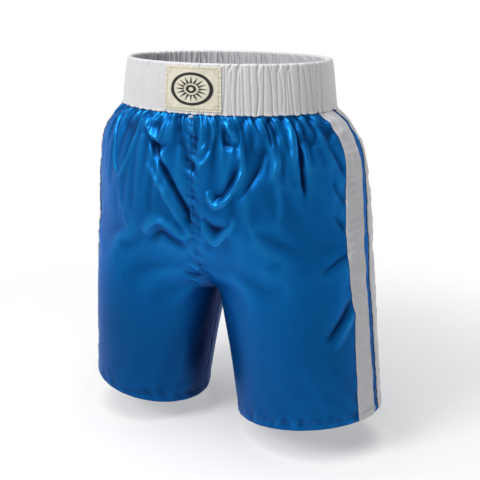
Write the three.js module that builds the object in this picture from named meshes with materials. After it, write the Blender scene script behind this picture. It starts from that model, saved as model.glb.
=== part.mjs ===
// Boxing shorts in satin, worn size: a gathered elastic waistband, two front and two back panels,
// two applied stripes down each side, a blank badge at the front, and a care label inside the back.
//
// Millimetres. +X is the wearer's left, the front faces -Y, +Z is up. The origin is the centre of the
// waist opening, level with the top edge of the waistband, and everything hangs below it.
// "depth" is the distance below the origin, so z = -depth.

import * as THREE from 'three';

// ---------------------------------------------------------------- driving dimensions

const totalLength = 500;          // top edge to the lowest point of the hem
const bandHeight = 64;            // waistband, top edge to bottom edge
const crotchDepth = 320;          // top edge to the point where the four panels meet
const hemClimb = 30;              // how much higher the hem is at the side seam

const topHalfWidth = 144;         // waistband's outer face at its top edge
const topHalfDepth = 107;
const bandHalfWidth = 153;        // the same at its bottom edge
const bandHalfDepth = 112;

const hipHalfWidth = 191;         // where the cloth has spread out below the gathers
const hemHalfWidth = 226;         // outside of the leg at the hem
const flareLength = 22;           // depth over which the gathered cloth spreads
const frontFullness = 11;         // how far the front swells past the waistband
const seatFullness = 8;           // how much further the seat swells than the front
const fullnessLength = 36;        // depth over which that swelling builds up
const legHalfDepth = 101;         // leg tube, half its front-to-back size at the crotch
const hemHalfDepth = 85;          // the same at the hem
const hemInnerWidth = 32;         // inside of the leg to the middle plane, at the hem
const hemForward = 17;            // how far the legs hang forward at the hem
const riseRoundness = 2.5;        // exponent of the rise curve, 2 is an ellipse
const riseReach = 1.6;             // exponent that keeps the rise curve near the end seam
const legShaping = 150;           // depth above the crotch over which the legs take their shape
const seamForward = 0.11;         // how far the side seam turns to the front at the hips, in radians
const seamForwardLength = 150;     // depth over which it does so
const seamForwardOnLegs = 0.55;   // share of that turn left on the legs
const inseamRoundness = 0.8;      // exponent of the spread between the legs

const clothThickness = 1.2;       // satin panel with its gathers pressed flat
const hemThickness = 2.6;         // panel and its turned-up hem together
const hemHeight = 12;             // turned-up hem
const stripeThickness = 0.8;
const stripeWidth = 32;
const stripeSpacing = 12;         // panel showing between the two stripes of a side
const ventHeight = 28;            // slit in the side seam at the hem
const ventHalfOpening = 1.5;
const seamHalfGap = 0.2;          // half the gap between panels that are sewn together
const touchGap = 0.3;             // gap between pieces that lie on each other

const casingWall = 1.2;
const casingDepth = 7;            // waistband's outer face to its inner face
const casingCrown = 2.4;          // height of the rounded fold along its top edge
const elasticThickness = 3;
const elasticMargin = 4;          // top edge of the elastic to the fold of the casing
const tuckHeight = 8;             // how far the panels reach up into the casing
const tuckInset = 3;              // waistband's outer face to the panel's outer face
const elasticAboveTuck = 3;

const badgeWidth = 82;
const badgeHeight = 58;
const badgeThickness = 0.8;
const badgeTopMargin = 2.5;       // below the casing's fold
const badgeGap = 0.5;

const careLabelWidth = 38;
const careLabelHeight = 55;
const careLabelThickness = 0.6;
const careLabelDrop = 0.8;        // gap between it and the casing's bottom edge

const threadWidth = 0.8;
const threadThickness = 0.5;
const stripeStitchInset = 2;      // stitching to the edge of the stripe
const seamStitchInset = 4;        // stitching to a seam
const hemStitchHeight = 10;
const waistStitchHeight = 5;
const badgeStitchInset = 2.5;
const frontTackLength = 5;
const tackWidth = 2;

// ---------------------------------------------------------------- how finely the cloth is cut up

const ringSteps = 88;             // round the waistband
const riseRows = 18;              // below the gathers, down to the crotch
const inseamRows = 6;             // crotch to the top of the vent
const panelColumns = 9;           // between the stripe and the stitching along the end seam
const rowSamples = 240;           // for measuring along a row
const gatherRowShare = 0.4;       // where the gathers' middle row lies
const frontTackRise = 0.7;        // rows from that row up to the centre front tack
const hemRow = 0.4;               // step in which the panel thickens to the double hem
const threadClearance = 1;        // thread's end to the vent, and its step on to a stripe
const badgeSteps = 14;
const sides = { left: 1, right: -1 };
const faces = { front: -1, back: 1 };

// ---------------------------------------------------------------- the worn shape

const sideLength = totalLength - hemClimb;
const stripeStart = stripeSpacing / 2;
const stripeEnd = stripeStart + stripeWidth;
const stripeTopLift = touchGap + stripeThickness;
const flareStart = bandHeight + 1;
const gatherEnd = bandHeight + 12;

function clamp01(value) {
  return Math.min(1, Math.max(0, value));
}

function mix(from, to, share) {
  return from + (to - from) * share;
}

// Share of the way from the waistband's bottom edge up to its top edge.
function insideBand(depth) {
  return clamp01((bandHeight - depth) / bandHeight);
}

function halfWidth(depth) {
  const spread = 1 - Math.exp(-Math.max(0, depth - flareStart) / flareLength);
  const down = clamp01((depth - bandHeight) / (totalLength - bandHeight));
  const tucked = mix(bandHalfWidth, topHalfWidth, insideBand(depth)) - tuckInset;
  return tucked + (hipHalfWidth - tucked) * spread + (hemHalfWidth - hipHalfWidth) * down;
}

function halfDepth(depth, face) {
  const build = 1 - Math.exp(-Math.max(0, depth - flareStart) / fullnessLength);
  const toCrotch = clamp01((depth - bandHeight) / (crotchDepth - bandHeight));
  const fullness = face === faces.front ? frontFullness : frontFullness + seatFullness;
  const tucked = mix(bandHalfDepth, topHalfDepth, insideBand(depth)) - tuckInset;
  return tucked + (fullness + tuckInset) * build - fullness * 0.7 * toCrotch * toCrotch;
}

// 0 where the cross-section is one ring round the hips, 1 where it is two separate legs. Along the end
// seam it follows the rise curve, and away from it the legs take their shape more gently.
function closing(share, depth) {
  const toCrotch = clamp01((depth - bandHeight) / (crotchDepth - bandHeight));
  const rise = 1 - (1 - toCrotch ** riseRoundness) ** (1 / riseRoundness);
  const shaping = THREE.MathUtils.smoothstep(depth, crotchDepth - legShaping, crotchDepth);
  return mix(shaping, rise, share ** riseReach);
}

// How far the side seam lies to the front of the widest place of the side, in radians.
function seamTurn(depth) {
  const turned = THREE.MathUtils.smoothstep(depth, bandHeight, bandHeight + seamForwardLength);
  const shaping = THREE.MathUtils.smoothstep(depth, crotchDepth - legShaping, crotchDepth);
  return seamForward * turned * mix(1, seamForwardOnLegs, shaping);
}

// A point on the outer face. share runs from 0 at the side seam to 1 at the end seam, which is the
// centre front or centre back down to the crotch and the inseam below it.
function wornPoint(side, face, share, depth) {
  const legDown = clamp01((depth - crotchDepth) / (totalLength - crotchDepth));
  const down = clamp01((depth - bandHeight) / (totalLength - bandHeight));
  const outer = halfWidth(depth);
  const inner = hemInnerWidth * legDown ** inseamRoundness;
  const turn = mix(-face * seamTurn(depth), Math.PI / 2, share);
  const hipX = outer * Math.cos(turn);
  const hipY = mix(halfDepth(depth, faces.front), halfDepth(depth, face), share) * Math.sin(turn);
  const legX = (outer + inner) / 2 + ((outer - inner) / 2) * Math.cos(2 * turn);
  const legY = mix(legHalfDepth, hemHalfDepth, legDown) * Math.sin(2 * turn);
  const split = closing(share, depth);
  const x = mix(hipX, legX, split) + seamHalfGap;
  const y = face * mix(hipY, legY, split) - hemForward * down;
  return new THREE.Vector3(side * x, y, -depth);
}

// Depths along the end seam that cut the rise curve into equal lengths.
function riseDepths(face, count) {
  const samples = [];
  let length = 0;
  for (let i = 0; i <= rowSamples; i += 1) {
    const depth = mix(gatherEnd, crotchDepth, 1 - (1 - i / rowSamples) ** 2);
    const point = wornPoint(sides.left, face, 1, depth);
    if (i > 0) length += point.distanceTo(samples[i - 1].point);
    samples.push({ depth, point, length });
  }
  const depths = [];
  for (let i = 1; i <= count; i += 1) {
    const target = (length * i) / count;
    const after = Math.max(1, samples.findIndex((sample) => sample.length >= target - 1e-9));
    const low = samples[after - 1];
    const high = samples[after];
    depths.push(mix(low.depth, high.depth, (target - low.length) / (high.length - low.length)));
  }
  return depths;
}

// The rows of the cloth, each with its depth at the side seam and at the end seam.
function clothRows(face) {
  const rows = [];
  const level = (depth) => rows.push({ side: depth, end: depth });
  level(bandHeight - tuckHeight);
  level(flareStart);
  level(mix(flareStart, gatherEnd, gatherRowShare));
  level(gatherEnd);
  const count = riseRows + inseamRows;
  const ventTop = sideLength - ventHeight;
  const endTop = totalLength - ventHeight;
  const rise = riseDepths(face, riseRows);
  for (let i = 1; i <= count; i += 1) {
    const side = mix(gatherEnd, ventTop, i / count);
    const end = i <= riseRows ? rise[i - 1] : mix(crotchDepth, endTop, (i - riseRows) / inseamRows);
    rows.push({ side, end });
  }
  for (const height of [hemHeight + hemRow, hemHeight, 0]) {
    rows.push({ side: sideLength - height, end: totalLength - height });
  }
  return rows;
}

const hemFoldRows = 2;            // the last rows, where the hem is double
const ventRows = 3;               // the last rows, beside the slit

function rowPoint(side, face, row, share) {
  const towardsEnd = Math.sin((Math.PI / 2) * share) ** 2;
  return wornPoint(side, face, share, mix(row.side, row.end, towardsEnd));
}

// One panel's outer face as a grid: rows run down, columns run from the side seam to the end seam.
class Panel {
  constructor(side, face) {
    this.side = side;
    this.face = face;
    this.rows = clothRows(face);
    this.grid = [];
    this.arcs = [];
    this.rows.forEach((row, index) => this.addRow(row, index));
    this.normals = this.grid.map((line, r) => line.map((_, c) => this.gridNormal(r, c)));
  }

  addRow(row, index) {
    const samples = [{ arc: 0, point: rowPoint(this.side, this.face, row, 0) }];
    for (let i = 1; i <= rowSamples; i += 1) {
      const point = rowPoint(this.side, this.face, row, i / rowSamples);
      samples.push({ arc: samples[i - 1].arc + point.distanceTo(samples[i - 1].point), point });
    }
    const length = samples[rowSamples].arc;
    const below = Math.max(0, index - (this.rows.length - 1 - ventRows)) / ventRows;
    const lastStitch = length - 2 * seamStitchInset;
    const arcs = [seamHalfGap + ventHalfOpening * below, stripeStart, (stripeStart + stripeEnd) / 2];
    for (let i = 0; i < panelColumns; i += 1) {
      arcs.push(mix(stripeEnd, lastStitch, i / (panelColumns - 1)));
    }
    arcs.push(length - seamHalfGap);
    this.arcs.push(arcs);
    this.grid.push(arcs.map((arc) => {
      const after = Math.max(1, samples.findIndex((sample) => sample.arc >= arc));
      const low = samples[after - 1];
      const high = samples[after];
      return low.point.clone().lerp(high.point, (arc - low.arc) / (high.arc - low.arc));
    }));
  }

  gridNormal(r, c) {
    const lastRow = this.grid.length - 1;
    const lastColumn = this.grid[0].length - 1;
    const down = this.grid[Math.min(r + 1, lastRow)][c].clone();
    down.sub(this.grid[Math.max(r - 1, 0)][c]);
    const across = this.grid[r][Math.min(c + 1, lastColumn)].clone();
    across.sub(this.grid[r][Math.max(c - 1, 0)]);
    return across.cross(down).multiplyScalar(-this.side * this.face).normalize();
  }

  // A point lifted off the outer face, at a row that may lie between two, and at a distance from the
  // side seam, which is a number or a function that gives one for each row.
  at(row, arc, lift = 0) {
    const arcOn = typeof arc === 'function' ? arc : () => arc;
    const low = Math.min(Math.floor(row), this.grid.length - 2);
    const upper = this.onRow(low, arcOn(low), lift);
    return upper.lerp(this.onRow(low + 1, arcOn(low + 1), lift), row - low);
  }

  onRow(r, arc, lift) {
    const arcs = this.arcs[r];
    let c = 0;
    while (c < arcs.length - 2 && arcs[c + 1] <= arc) c += 1;
    const share = (arc - arcs[c]) / (arcs[c + 1] - arcs[c]);
    const point = this.grid[r][c].clone().lerp(this.grid[r][c + 1], share);
    const normal = this.normals[r][c].clone().lerp(this.normals[r][c + 1], share).normalize();
    return point.addScaledVector(normal, lift);
  }

  rowLength(r) {
    return this.arcs[r].at(-1);
  }
}

// ---------------------------------------------------------------- closed solids

// Joins sections of equally many points into one closed solid. A section's first half is one side
// of the piece and its second half, in reverse order, is the other.
function loft(sections, ring = false) {
  const count = sections[0].length;
  const positions = sections.flat().flatMap((point) => [point.x, point.y, point.z]);
  const faceIndex = [];
  const quad = (a, b, c, d) => faceIndex.push(a, b, c, a, c, d);
  const steps = ring ? sections.length : sections.length - 1;
  for (let s = 0; s < steps; s += 1) {
    const next = (s + 1) % sections.length;
    for (let p = 0; p < count; p += 1) {
      const q = (p + 1) % count;
      quad(s * count + p, s * count + q, next * count + q, next * count + p);
    }
  }
  if (!ring) {
    const last = (sections.length - 1) * count;
    for (let p = 0; p < count / 2 - 1; p += 1) {
      quad(p, count - 1 - p, count - 2 - p, p + 1);
      quad(last + p, last + p + 1, last + count - 2 - p, last + count - 1 - p);
    }
  }
  const geometry = new THREE.BufferGeometry();
  geometry.setAttribute('position', new THREE.Float32BufferAttribute(positions, 3));
  geometry.setIndex(signedVolume(positions, faceIndex) < 0 ? faceIndex.reverse() : faceIndex);
  geometry.computeVertexNormals();
  return geometry;
}

function signedVolume(positions, faceIndex) {
  let volume = 0;
  const corner = (i) => new THREE.Vector3().fromArray(positions, 3 * faceIndex[i]);
  for (let i = 0; i < faceIndex.length; i += 3) {
    volume += corner(i).dot(corner(i + 1).cross(corner(i + 2))) / 6;
  }
  return volume;
}

// ---------------------------------------------------------------- materials

function satin(color, roughness) {
  return new THREE.MeshStandardMaterial({ color, roughness, metalness: 0 });
}

const blueSatin = () => satin(0x1a5a9e, 0.42);
const whiteSatin = () => satin(0xdcdcde, 0.45);
const stripeSatin = () => satin(0xd2d2d6, 0.42);
const elasticWeave = () => satin(0xe6e4de, 0.85);
const badgeCloth = () => satin(0xe4e0cf, 0.7);
const labelCloth = () => satin(0xeeeeea, 0.6);
const blueThread = () => satin(0x2362a4, 0.6);
const whiteThread = () => satin(0xe8e8ea, 0.6);

const shorts = new THREE.Group();

function addPiece(name, geometry, material) {
  const mesh = new THREE.Mesh(geometry, material);
  mesh.name = name;
  shorts.add(mesh);
  return mesh;
}

// ---------------------------------------------------------------- waistband

// A point of the waistband: turn 0 is the wearer's left, inset is measured in from the outer face.
function bandPoint(turn, inset, depth) {
  const down = depth / bandHeight;
  const a = mix(topHalfWidth, bandHalfWidth, down) - inset;
  const b = mix(topHalfDepth, bandHalfDepth, down) - inset;
  return new THREE.Vector3(a * Math.cos(turn), b * Math.sin(turn), -depth);
}

// A ring whose section is a list of [inset, depth] pairs.
function bandRing(section) {
  const sections = [];
  for (let i = 0; i < ringSteps; i += 1) {
    const turn = (2 * Math.PI * i) / ringSteps;
    sections.push(section.map(([inset, depth]) => bandPoint(turn, inset, depth)));
  }
  return loft(sections, true);
}

// The casing is one strip of cloth folded over the elastic, open along its bottom edge.
function casingSection() {
  const middle = casingDepth / 2;
  const outerFold = [[0, bandHeight], [0, casingCrown]];
  const shoulder = 0.25;            // share of the way at which the fold is rounded
  const crown = [
    [shoulder * middle, shoulder * casingCrown],
    [middle, 0],
    [casingDepth - shoulder * middle, shoulder * casingCrown],
  ];
  const innerFold = [[casingDepth, casingCrown], [casingDepth, bandHeight]];
  const backWall = casingDepth - casingWall;
  const cavityBack = [[backWall, bandHeight], [backWall, casingCrown]];
  const cavityTop = [[middle, casingWall]];
  const cavityFront = [[casingWall, casingCrown], [casingWall, bandHeight]];
  return [...outerFold, ...crown, ...innerFold, ...cavityBack, ...cavityTop, ...cavityFront];
}

addPiece('waistband_casing', bandRing(casingSection()), whiteSatin());

const elasticInset = (casingDepth - elasticThickness) / 2;
const elasticBottom = bandHeight - tuckHeight - elasticAboveTuck;
addPiece('waistband_elastic', bandRing([
  [elasticInset, elasticBottom],
  [elasticInset, elasticMargin],
  [elasticInset + elasticThickness, elasticMargin],
  [elasticInset + elasticThickness, elasticBottom],
]), elasticWeave());

// ---------------------------------------------------------------- panels

function panelSections(panel) {
  const last = panel.grid.length - 1;
  return panel.grid.map((line, r) => {
    const thickness = r > last - hemFoldRows ? hemThickness : clothThickness;
    const inner = line.map((point, c) => {
      return point.clone().addScaledVector(panel.normals[r][c], -thickness);
    });
    return [...line, ...inner.reverse()];
  });
}

const panels = {};
for (const [sideName, side] of Object.entries(sides)) {
  for (const [faceName, face] of Object.entries(faces)) {
    const panel = new Panel(side, face);
    panels[`${sideName}_${faceName}`] = panel;
    addPiece(`${sideName}_${faceName}_panel`, loft(panelSections(panel)), blueSatin());
  }
}

// ---------------------------------------------------------------- stripes

function stripeSections(panel) {
  const arcs = [stripeStart, (stripeStart + stripeEnd) / 2, stripeEnd];
  return panel.rows.map((_, r) => {
    const outer = arcs.map((arc) => panel.at(r, arc, stripeTopLift));
    const inner = arcs.map((arc) => panel.at(r, arc, touchGap));
    return [...outer, ...inner.reverse()];
  });
}

for (const [name, panel] of Object.entries(panels)) {
  addPiece(`${name}_stripe`, loft(stripeSections(panel)), stripeSatin());
}

// ---------------------------------------------------------------- sewing threads

// Thread running down a panel at a distance from the side seam, or from the end seam if fromEnd.
function seamThread(panel, inset, { fromEnd = false, firstRow, lastRow, lift = touchGap }) {
  const sections = [];
  for (let r = firstRow; r <= lastRow; r += 1) {
    const arc = fromEnd ? panel.rowLength(r) + seamHalfGap - inset : inset;
    const low = arc - threadWidth / 2;
    const high = arc + threadWidth / 2;
    const over = lift + threadThickness;
    sections.push([
      panel.at(r, low, over), panel.at(r, high, over),
      panel.at(r, high, lift), panel.at(r, low, lift),
    ]);
  }
  return loft(sections);
}

const firstSewnRow = 2;                                     // just below the waistband
const crotchRow = 3 + riseRows;
const lastRow = crotchRow + inseamRows + ventRows;
const ventTopRow = lastRow - ventRows;
const hemFoldRow = lastRow - hemFoldRows;

for (const sideName of Object.keys(sides)) {
  for (const faceName of Object.keys(faces)) {
    const panel = panels[`${sideName}_${faceName}`];
    const centre = { fromEnd: true, firstRow: firstSewnRow, lastRow: crotchRow - 2 };
    const centreThread = seamThread(panel, seamStitchInset, centre);
    addPiece(`${sideName}_centre_${faceName}_thread`, centreThread, blueThread());
    const onStripe = { firstRow: firstSewnRow, lastRow: hemFoldRow, lift: stripeTopLift + touchGap };
    const insets = { inner: stripeStart + stripeStitchInset, outer: stripeEnd - stripeStitchInset };
    for (const [edge, inset] of Object.entries(insets)) {
      const stripeThread = seamThread(panel, inset, onStripe);
      addPiece(`${sideName}_${faceName}_stripe_${edge}_thread`, stripeThread, whiteThread());
    }
  }
  const back = panels[`${sideName}_back`];
  const front = panels[`${sideName}_front`];
  const inseam = { fromEnd: true, firstRow: crotchRow + 1, lastRow: hemFoldRow };
  addPiece(`${sideName}_inseam_thread`, seamThread(back, seamStitchInset, inseam), blueThread());
  const sideSeam = { firstRow: firstSewnRow, lastRow: ventTopRow - 1 };
  addPiece(`${sideName}_side_seam_thread`, seamThread(front, seamStitchInset, sideSeam), blueThread());
  addPiece(`${sideName}_hem_thread`, hemThread(front, back), blueThread());
  addPiece(`${sideName}_vent_tack`, ventTack(front, back), blueThread());
}

// Thread round the hem of one leg, from one edge of the vent round the inseam to the other edge.
// It steps up onto the stripe and down again, and turns at every column of the panel.
function hemThread(front, back) {
  const height = threadWidth / 2 / hemHeight;
  const row = lastRow - hemStitchHeight / hemHeight;
  const onPanel = (panel) => ({ arc, lift }) => {
    const over = lift + threadThickness;
    return [
      panel.at(row - height, arc, over), panel.at(row + height, arc, over),
      panel.at(row + height, arc, lift), panel.at(row - height, arc, lift),
    ];
  };
  const low = touchGap;
  const high = stripeTopLift + touchGap;
  const stops = [
    { arc: seamHalfGap + ventHalfOpening + threadClearance, lift: low },
    { arc: stripeStart - 2 * threadClearance, lift: low },
    { arc: stripeStart - threadClearance, lift: high },
    { arc: stripeStart, lift: high },
    { arc: (stripeStart + stripeEnd) / 2, lift: high },
    { arc: stripeEnd, lift: high },
    { arc: stripeEnd + threadClearance, lift: high },
    { arc: stripeEnd + 2 * threadClearance, lift: low },
  ];
  const columnStops = (panel) => {
    const beyondStripe = panel.arcs[0].map((_, c) => c).slice(4);
    return beyondStripe.map((c) => ({ arc: (r) => panel.arcs[r][c], lift: low }));
  };
  const down = [...stops, ...columnStops(front)].map(onPanel(front));
  const up = [...stops, ...columnStops(back)].map(onPanel(back)).reverse();
  return loft([...down, ...up]);
}

// Bar of close stitches across the top of the vent.
function ventTack(front, back) {
  const reach = stripeStart - 1;
  const height = tackWidth / 2 / ((sideLength - gatherEnd - ventHeight) / (riseRows + inseamRows));
  const corners = (panel, arc) => {
    const over = touchGap + threadThickness;
    return [
      panel.at(ventTopRow - 2 * height, arc, over), panel.at(ventTopRow, arc, over),
      panel.at(ventTopRow, arc, touchGap), panel.at(ventTopRow - 2 * height, arc, touchGap),
    ];
  };
  return loft([corners(front, reach), corners(front, 1), corners(back, 1), corners(back, reach)]);
}

// Short bar of stitches across the centre front seam, just below the waistband.
function centreTack() {
  const rowSpan = (gatherEnd - flareStart) * gatherRowShare;
  const top = firstSewnRow - frontTackRise;
  const bottom = top + tackWidth / rowSpan;
  const corners = (panel) => {
    const arc = (r) => panel.rowLength(r) - frontTackLength / 2;
    const over = touchGap + threadThickness;
    return [
      panel.at(top, arc, over), panel.at(bottom, arc, over),
      panel.at(bottom, arc, touchGap), panel.at(top, arc, touchGap),
    ];
  };
  return loft([corners(panels.left_front), corners(panels.right_front)]);
}

addPiece('centre_front_tack', centreTack(), whiteThread());

// Thread on the inner wall of the casing, where the waistband is sewn to the panels.
addPiece('waist_seam_thread', bandRing([
  [casingDepth + touchGap, bandHeight - waistStitchHeight],
  [casingDepth + touchGap, bandHeight - waistStitchHeight - threadWidth],
  [casingDepth + touchGap + threadThickness, bandHeight - waistStitchHeight - threadWidth],
  [casingDepth + touchGap + threadThickness, bandHeight - waistStitchHeight],
]), whiteThread());

// ---------------------------------------------------------------- badge at the front

const badgeTop = casingCrown + badgeTopMargin;
const badgeBottom = badgeTop + badgeHeight - casingCrown;
const frontTurn = -Math.PI / 2;

// Angle at which a point of the waistband's front stands a given distance from the middle.
function turnAcross(x, depth) {
  const a = mix(topHalfWidth, bandHalfWidth, depth / bandHeight);
  return frontTurn + Math.asin(x / a);
}

function badgePoint(x, depth, lift) {
  return bandPoint(turnAcross(x, depth), -lift, depth);
}

// Points across the badge, or across its stitching, at one depth.
function acrossBadge(halfSpan, depth) {
  return Array.from({ length: badgeSteps + 1 }, (_, i) => [mix(-halfSpan, halfSpan, i / badgeSteps), depth]);
}

function badgeSheet() {
  return loft([badgeTop, badgeBottom].map((depth) => {
    const across = acrossBadge(badgeWidth / 2, depth);
    const outer = across.map(([x]) => badgePoint(x, depth, badgeGap + badgeThickness));
    const inner = across.map(([x]) => badgePoint(x, depth, badgeGap));
    return [...outer, ...inner.reverse()];
  }));
}

addPiece('front_badge', badgeSheet(), badgeCloth());

// Thread round the badge, one closed loop.
function badgeThread() {
  const halfSpan = badgeWidth / 2 - badgeStitchInset;
  const top = badgeTop + badgeStitchInset;
  const bottom = badgeBottom - badgeStitchInset;
  const lift = badgeGap + badgeThickness + touchGap;
  const loop = [...acrossBadge(halfSpan, top), ...acrossBadge(halfSpan, bottom).reverse()];
  return loft(loop.map(([x, depth], i) => {
    const atCorner = i % (badgeSteps + 1) % badgeSteps === 0;
    const outerX = atCorner ? x + Math.sign(x) * threadWidth : x;
    const outerDepth = depth + (depth === top ? -threadWidth : threadWidth);
    return [
      badgePoint(outerX, outerDepth, lift), badgePoint(outerX, outerDepth, lift + threadThickness),
      badgePoint(x, depth, lift + threadThickness), badgePoint(x, depth, lift),
    ];
  }), true);
}

addPiece('badge_thread', badgeThread(), whiteThread());

// ---------------------------------------------------------------- care label

// It hangs inside the centre back by its top edge and swings about that edge.
const careLabel = addPiece(
  'care_label',
  new THREE.BoxGeometry(careLabelWidth, careLabelThickness, careLabelHeight),
  labelCloth(),
);
careLabel.position.set(
  0,
  bandHalfDepth - casingDepth + casingWall / 2,
  -(bandHeight + careLabelDrop + careLabelHeight / 2),
);

export default shorts;
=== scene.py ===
"""Boxing shorts: the satin, the gathers, the ribbed waistband and every stitch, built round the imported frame."""

import math

import bpy
import numpy as np
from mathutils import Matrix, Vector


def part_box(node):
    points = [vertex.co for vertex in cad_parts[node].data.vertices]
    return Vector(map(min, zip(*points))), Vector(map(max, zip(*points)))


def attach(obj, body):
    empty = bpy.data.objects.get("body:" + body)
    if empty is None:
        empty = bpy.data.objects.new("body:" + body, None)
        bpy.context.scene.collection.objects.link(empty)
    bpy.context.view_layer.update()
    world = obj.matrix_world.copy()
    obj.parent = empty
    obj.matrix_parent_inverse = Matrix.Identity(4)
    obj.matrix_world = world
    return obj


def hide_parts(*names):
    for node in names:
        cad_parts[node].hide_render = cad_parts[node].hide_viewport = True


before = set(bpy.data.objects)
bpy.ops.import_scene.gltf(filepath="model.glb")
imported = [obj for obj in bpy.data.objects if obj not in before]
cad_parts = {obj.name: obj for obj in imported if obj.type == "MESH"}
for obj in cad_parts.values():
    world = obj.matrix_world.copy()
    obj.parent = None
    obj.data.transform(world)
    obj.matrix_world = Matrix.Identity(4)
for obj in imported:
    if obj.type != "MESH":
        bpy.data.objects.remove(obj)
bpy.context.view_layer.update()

# ------------------------------------------------------------------ sizes, in metres

CASING_LOW, CASING_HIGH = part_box("waistband_casing")
PANEL_LOW, PANEL_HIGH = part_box("left_front_panel")
BAND = -CASING_LOW.z                 # height of the waistband
TOTAL = -PANEL_LOW.z                 # top edge to the lowest point of the hem
BAND_WIDE = CASING_HIGH.x            # waistband's outer face at its bottom edge, half width
BAND_DEEP = CASING_HIGH.y
HEM_WIDE = PANEL_HIGH.x              # half width over both legs at the hem
TOP_TAPER = 0.009                    # how much narrower the waistband is at its top edge
TOP_TAPER_DEEP = 0.005
CROTCH = 0.320
HEM_CLIMB = 0.030
HIP_WIDE = 0.191
FLARE = 0.022
FULL_FRONT = 0.011
FULL_SEAT = 0.019
FULL_LENGTH = 0.036
LEG_DEEP = 0.101
HEM_DEEP = 0.085
HEM_INNER = 0.032
HEM_FORWARD = 0.017
RISE_ROUND = 2.5
RISE_REACH = 1.6
LEG_SHAPING = 0.150
SEAM_FORWARD = 0.11                  # how far the side seam turns to the front at the hips, in radians
SEAM_FORWARD_LENGTH = 0.150
SEAM_FORWARD_ON_LEGS = 0.55
SEAM_FORWARD_ARC = 0.013             # the same turn, measured along the cloth
INSEAM_ROUND = 0.8
TUCK_INSET = 0.003
TUCK = 0.006
SEAM_GAP = 0.00003
LEFT_SPREAD = 0.017                  # the photographed legs don't hang quite alike
RIGHT_SPREAD = -0.019
RIGHT_SEAM = 0.3                     # share of the side seam's turn on the wearer's right, which hangs further back

STRIPE_FROM = 0.006
STRIPE_TO = 0.038
VENT = 0.028
VENT_OPEN = 0.0015
HEM_HEIGHT = 0.012
CLOTH = 0.0006
HEM_CLOTH = 0.0015
STRIPE_CLOTH = 0.0005
LIFT = 0.0004                        # a stripe above its panel, clear of it

WALL_LIGHT = 1.0
FRONT_LIGHT = 0.36                   # the front wall's light against the back one's
FRONT_FADE = (-0.7, 0.5)             # between the front wall and the back one
CEILING_LIGHT = 0.15
WALL_TOP = 0.22                      # sines of the angles between which the walls fade into the ceiling
CEILING_FROM = 0.45

LEFT, RIGHT = 1, -1
FRONT, BACK = -1, 1
SIDE_NAMES = {LEFT: "left", RIGHT: "right"}
FACE_NAMES = {FRONT: "front", BACK: "back"}

RISE_ROWS = 62
INSEAM_ROWS = 24
ROWS = RISE_ROWS + INSEAM_ROWS + 2   # one more row, tucked up into the waistband
CROTCH_ROW = RISE_ROWS + 1
COLUMNS = 76
ROW_SAMPLES = 200


# ------------------------------------------------------------------ camera, floor, light

def look_from(azimuth, elevation, distance, target):
    """The place and rotation of a camera that looks at target; azimuth 0 looks along +Y."""
    a, e = math.radians(azimuth), math.radians(elevation)
    back = np.array([math.sin(a) * math.cos(e), -math.cos(a) * math.cos(e), math.sin(e)])
    return np.array(target) + back * distance, (math.pi / 2 - e, 0, a)


def make_camera():
    data = bpy.data.cameras.new("camera")
    data.lens = 62.5
    data.shift_x = 0.0256
    data.shift_y = -0.0157
    data.clip_start = 0.05
    camera = bpy.data.objects.new("camera", data)
    bpy.context.scene.collection.objects.link(camera)
    camera.location, camera.rotation_euler = look_from(24.3, 16.65, 1.20, (0, 0, -TOTAL / 2))
    bpy.context.scene.camera = camera


def make_floor():
    """A white sheet under the shorts whose far edge melts into the white room."""
    size = 1.2
    z = -TOTAL - 0.030
    mesh = bpy.data.meshes.new("floor")
    corners = [(-size, -size, z), (size, -size, z), (size, size, z), (-size, size, z)]
    mesh.from_pydata(corners, [], [(0, 1, 2, 3)])
    floor = bpy.data.objects.new("floor", mesh)
    bpy.context.scene.collection.objects.link(floor)
    white = Material("floor_white", 0.9)
    place = white.add("TexCoord", {}, "Object")
    flat = white.add("Mapping", {"Vector": place, "Scale": (1, 1, 0)}, "Vector")
    radius = white.add("VectorMath", {0: flat}, "Value", operation="LENGTH")
    white.set(white.shader, {"Base Color": (1, 1, 1, 1), "Specular IOR Level": 0,
                             "Alpha": white.ramp(radius, 0.35, 0.85, 0.7, 0)})
    mesh.materials.append(white.data)


def make_area_light(name, azimuth, elevation, distance, size, power):
    data = bpy.data.lights.new(name, "AREA")
    data.shape = "DISK"
    data.size = size
    data.energy = power
    light = bpy.data.objects.new(name, data)
    bpy.context.scene.collection.objects.link(light)
    light.location, light.rotation_euler = look_from(azimuth, elevation, distance, (0, 0, -TOTAL / 2))


def make_world():
    """A white room whose ceiling and front wall are dimmer than its other walls."""
    world = bpy.data.worlds.new("studio")
    bpy.context.scene.world = world
    world.use_nodes = True
    tree = Tree(world.node_tree)
    towards = tree.add("SeparateXYZ", {"Vector": tree.add("TexCoord", {}, "Generated")}).outputs
    ceiling = tree.ramp(towards["Z"], WALL_TOP, CEILING_FROM, WALL_LIGHT, CEILING_LIGHT)
    front = tree.ramp(towards["Y"], *FRONT_FADE, FRONT_LIGHT, 1)
    strength = tree.add("Math", {0: ceiling, 1: front}, "Value", operation="MULTIPLY")
    tree.set(tree.nodes["Background"], {"Color": (1, 1, 1, 1), "Strength": strength})


# ------------------------------------------------------------------ materials

BUMP_DISTANCE = 0.0001
YARN_SCALE = 0.314                   # a wave texture's scale times the distance between its bands


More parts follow.
